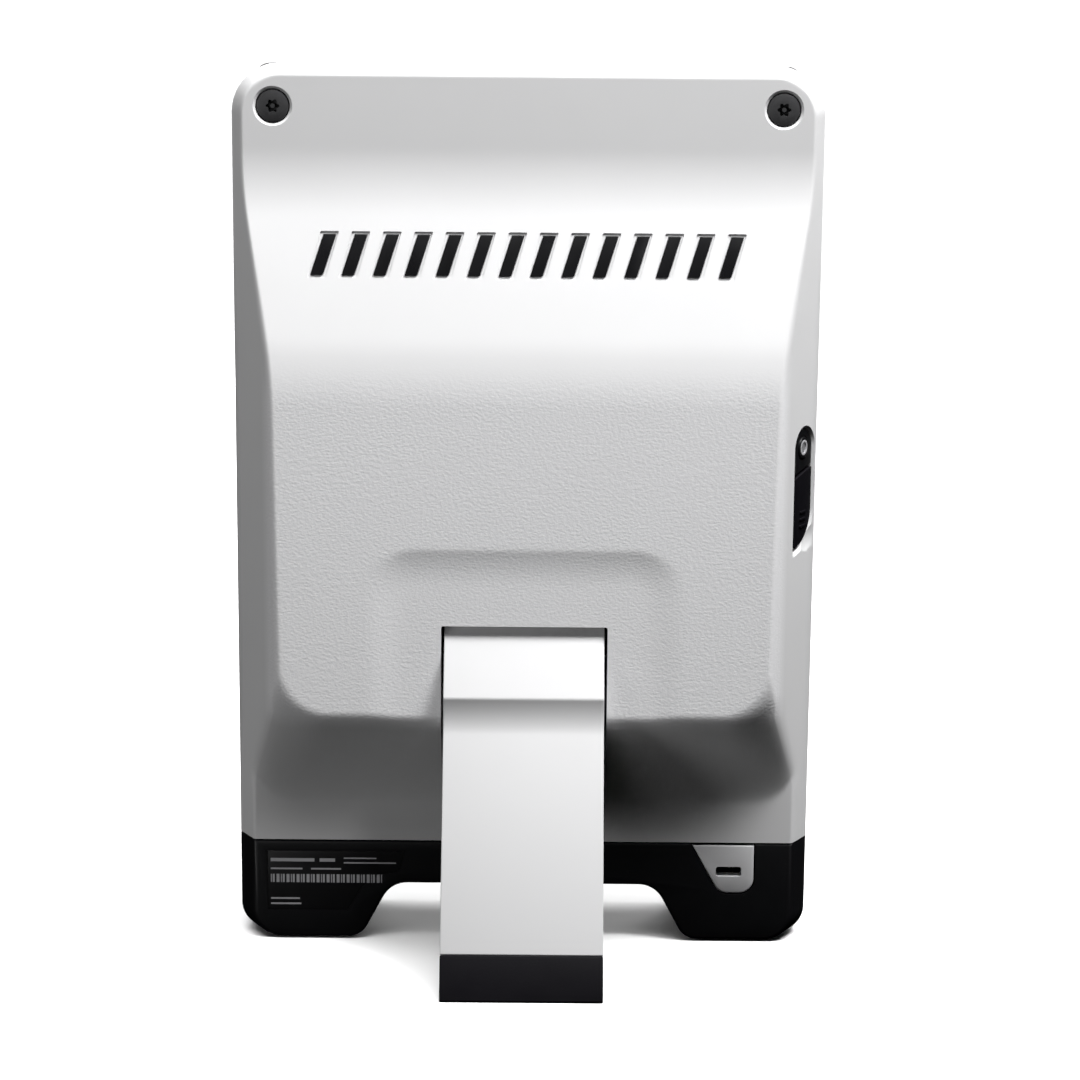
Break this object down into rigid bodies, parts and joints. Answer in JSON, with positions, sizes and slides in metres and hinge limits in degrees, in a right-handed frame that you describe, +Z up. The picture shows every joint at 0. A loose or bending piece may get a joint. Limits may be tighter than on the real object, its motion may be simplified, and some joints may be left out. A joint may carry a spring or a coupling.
{
  "type": "golf launch monitor",
  "caption": "Upright golf launch monitor with a battery bulge on its back, a black arched base and a fold-out rear leg.",
  "frame": {"origin": "on the floor, at the middle of the box that holds the case and the opened leg", "axes": "+Z up, +Y towards the front with the display, +X to the right when the back is seen"},
  "size_m": [0.165, 0.0879, 0.252],
  "materials": {
    "white_shell": "fine spark-eroded texture, satin",
    "leg_white": "smooth satin moulding",
    "black_plastic": "satin black moulding",
    "black_rubber": "matt soft-touch",
    "circuit_board": "solder mask",
    "steel": "plated",
    "black_steel": "black oxide",
    "aluminium": "milled",
    "brass": "plated",
    "battery_wrap": "shrink wrap",
    "dark_glass": "polished, dark tint",
    "tape": "adhesive foam",
    "chip_plastic": "moulded packages and washers",
    "mark_white": "inlaid ring",
    "lock_grey": "painted casting",
    "label_black": "printed film",
    "badge_black": "gloss inlay"
  },
  "bodies": {
    "case": {"front_housing": "white_shell", "rear_cover": "white_shell", "base_cover": "black_plastic", "case_seal": "black_rubber", "case_screws": "black_steel", "base_screws": "steel", "foot_pads": "black_rubber", "radome_cover": "black_plastic", "display_window": "dark_glass", "window_tape": "tape", "camera_window": "dark_glass", "display_panel": "dark_glass", "display_frame": "steel", "chassis_plate": "aluminium", "chassis_screws": "steel", "radar_board": "circuit_board", "radar_patches": "brass", "radar_shield": "steel", "main_board": "circuit_board", "board_chips": "chip_plastic", "board_screws": "steel", "heat_sink": "aluminium", "wireless_module": "steel", "battery_pack": "battery_wrap", "battery_tray": "black_plastic", "battery_screws": "steel", "camera_barrel": "black_plastic", "camera_lens": "dark_glass", "camera_board": "circuit_board", "hinge_bracket": "steel", "bracket_screws": "steel", "hinge_pin": "steel", "friction_washers": "chip_plastic", "pin_clips": "steel", "side_tray": "black_plastic", "power_switch": "steel", "side_board": "circuit_board", "usb_port": "steel", "lock_plate": "lock_grey", "rating_plate": "label_black", "badge_bars": "badge_black"},
    "leg": {"leg": "leg_white", "leg_plate": "black_plastic", "leg_plate_screws": "steel", "leg_foot": "black_rubber"},
    "button": {"power_button": "black_plastic", "power_ring": "mark_white"},
    "door": {"port_door": "black_rubber"}
  },
  "joints": [
    {"name": "leg_hinge", "type": "hinge", "parent": "case", "child": "leg", "pos_m": [0, 0.0096, 0.0915], "axis": [1, 0, 0], "range_deg": [0, 24]},
    {"name": "button_press", "type": "slide", "parent": "case", "child": "button", "axis": [-0.866, 0.5, 0], "range_m": [0, 0.0005], "stiffness_N_per_m": 1500},
    {"name": "door_hinge", "type": "hinge", "parent": "case", "child": "door", "pos_m": [0.08072, 0.01342, 0.128], "axis": [0, 0, 1], "range_deg": [0, 75]}
  ]
}
